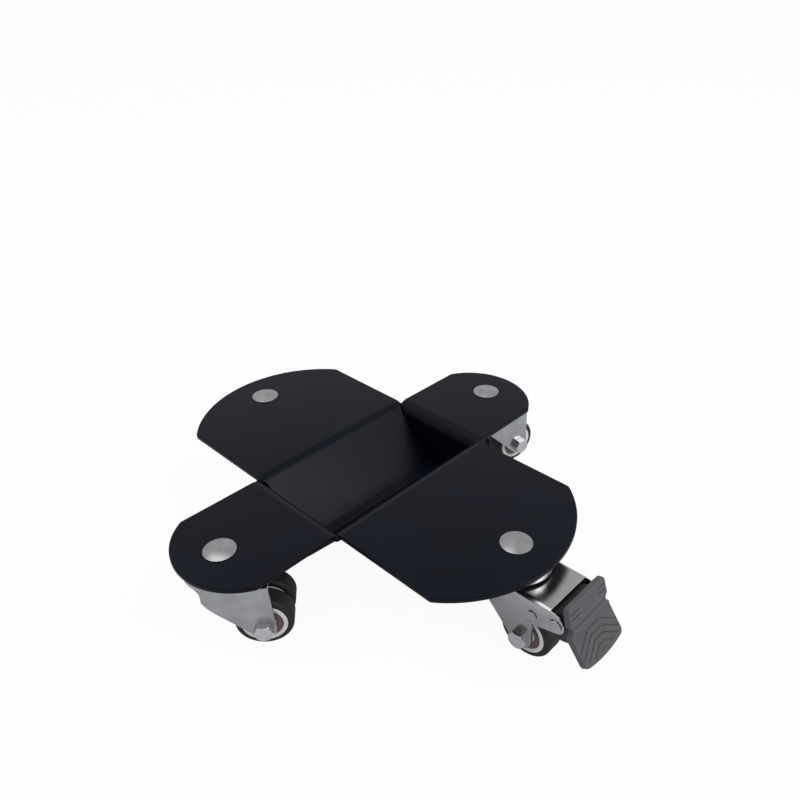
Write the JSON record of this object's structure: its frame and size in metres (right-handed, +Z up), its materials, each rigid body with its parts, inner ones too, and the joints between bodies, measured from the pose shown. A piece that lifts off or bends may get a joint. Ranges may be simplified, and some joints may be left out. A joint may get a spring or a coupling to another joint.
{
  "type": "piano dolly",
  "caption": "Low steel cross with a V trough that takes a piano castor, on twin-wheel swivel casters, one with a foot brake pedal.",
  "frame": {"origin": "centre of the trough floor, on the face that carries the load", "axes": "+Z up, +Y to the rear wide arm, +X to the right narrow arm; the braked caster is at -Y"},
  "size_m": [0.3505, 0.3962, 0.0758],
  "materials": {
    "powder_coat": "satin black powder coat with a fine orange peel",
    "nickel_plate": "satin nickel plate",
    "zinc_plate": "bright zinc plate",
    "bearing_steel": "polished hard steel",
    "tyre_rubber": "dark grey thermoplastic rubber",
    "rim_plastic": "cream moulded plastic",
    "cover_plastic": "dark brown moulded plastic",
    "pedal_plastic": "dark grey moulded plastic with a fine grain",
    "lever_steel": "black passivated steel"
  },
  "bodies": {
    "deck": {"trough_plate": "powder_coat", "left_arm": "powder_coat", "right_arm": "powder_coat", "corner_welds": "powder_coat", "kingpin_bolts": "nickel_plate", "kingpins": "zinc_plate", "kingpin_nuts": "zinc_plate", "upper_races": "zinc_plate", "bearing_balls": "bearing_steel"},
    "caster_front": {"fork_front": "zinc_plate", "lower_race_front": "zinc_plate", "axle_bolt_front": "zinc_plate", "axle_sleeve_front": "zinc_plate", "axle_nut_front": "zinc_plate", "pedal_pin": "zinc_plate", "stop_pin": "zinc_plate"},
    "wheel_front_a": {"tyre_front_a": "tyre_rubber", "rim_front_a": "rim_plastic", "hub_cover_front_a": "cover_plastic"},
    "wheel_front_b": {"tyre_front_b": "tyre_rubber", "rim_front_b": "rim_plastic", "hub_cover_front_b": "cover_plastic"},
    "caster_left": {"fork_left": "zinc_plate", "lower_race_left": "zinc_plate", "axle_bolt_left": "zinc_plate", "axle_sleeve_left": "zinc_plate", "axle_nut_left": "zinc_plate"},
    "wheel_left_a": {"tyre_left_a": "tyre_rubber", "rim_left_a": "rim_plastic", "hub_cover_left_a": "cover_plastic"},
    "wheel_left_b": {"tyre_left_b": "tyre_rubber", "rim_left_b": "rim_plastic", "hub_cover_left_b": "cover_plastic"},
    "caster_right": {"fork_right": "zinc_plate", "lower_race_right": "zinc_plate", "axle_bolt_right": "zinc_plate", "axle_sleeve_right": "zinc_plate", "axle_nut_right": "zinc_plate"},
    "wheel_right_a": {"tyre_right_a": "tyre_rubber", "rim_right_a": "rim_plastic", "hub_cover_right_a": "cover_plastic"},
    "wheel_right_b": {"tyre_right_b": "tyre_rubber", "rim_right_b": "rim_plastic", "hub_cover_right_b": "cover_plastic"},
    "caster_rear": {"fork_rear": "zinc_plate", "lower_race_rear": "zinc_plate", "axle_bolt_rear": "zinc_plate", "axle_sleeve_rear": "zinc_plate", "axle_nut_rear": "zinc_plate"},
    "wheel_rear_a": {"tyre_rear_a": "tyre_rubber", "rim_rear_a": "rim_plastic", "hub_cover_rear_a": "cover_plastic"},
    "wheel_rear_b": {"tyre_rear_b": "tyre_rubber", "rim_rear_b": "rim_plastic", "hub_cover_rear_b": "cover_plastic"},
    "brake_pedal": {"pedal_pad": "pedal_plastic", "brake_lever": "lever_steel"}
  },
  "joints": [
    {"name": "swivel_front", "type": "hinge", "parent": "deck", "child": "caster_front", "pos_m": [0, -0.1375, 0.0262], "axis": [0, 0, 1], "continuous": true},
    {"name": "spin_front_a", "type": "hinge", "parent": "caster_front", "child": "wheel_front_a", "pos_m": [0, -0.1613, -0.0116], "axis": [1, 0, 0], "continuous": true},
    {"name": "spin_front_b", "type": "hinge", "parent": "caster_front", "child": "wheel_front_b", "pos_m": [0, -0.1613, -0.0116], "axis": [1, 0, 0], "continuous": true},
    {"name": "swivel_left", "type": "hinge", "parent": "deck", "child": "caster_left", "pos_m": [-0.1375, 0, 0.0262], "axis": [0, 0, 1], "continuous": true},
    {"name": "spin_left_a", "type": "hinge", "parent": "caster_left", "child": "wheel_left_a", "pos_m": [-0.11954, -0.01561, -0.0116], "axis": [0.6561, 0.7547, 0], "continuous": true},
    {"name": "spin_left_b", "type": "hinge", "parent": "caster_left", "child": "wheel_left_b", "pos_m": [-0.11954, -0.01561, -0.0116], "axis": [0.6561, 0.7547, 0], "continuous": true},
    {"name": "swivel_right", "type": "hinge", "parent": "deck", "child": "caster_right", "pos_m": [0.1375, 0, 0.0262], "axis": [0, 0, 1], "continuous": true},
    {"name": "spin_right_a", "type": "hinge", "parent": "caster_right", "child": "wheel_right_a", "pos_m": [0.16074, -0.00515, -0.0116], "axis": [0.2164, 0.9763, 0], "continuous": true},
    {"name": "spin_right_b", "type": "hinge", "parent": "caster_right", "child": "wheel_right_b", "pos_m": [0.16074, -0.00515, -0.0116], "axis": [0.2164, 0.9763, 0], "continuous": true},
    {"name": "swivel_rear", "type": "hinge", "parent": "deck", "child": "caster_rear", "pos_m": [0, 0.1375, 0.0262], "axis": [0, 0, 1], "continuous": true},
    {"name": "spin_rear_a", "type": "hinge", "parent": "caster_rear", "child": "wheel_rear_a", "pos_m": [0.01117, 0.15851, -0.0116], "axis": [-0.8829, 0.4695, 0], "continuous": true},
    {"name": "spin_rear_b", "type": "hinge", "parent": "caster_rear", "child": "wheel_rear_b", "pos_m": [0.01117, 0.15851, -0.0116], "axis": [-0.8829, 0.4695, 0], "continuous": true},
    {"name": "pedal_swing", "type": "hinge", "parent": "caster_front", "child": "brake_pedal", "pos_m": [0, -0.186, 0.0184], "axis": [-1, 0, 0], "range_deg": [0, 30]}
  ]
}
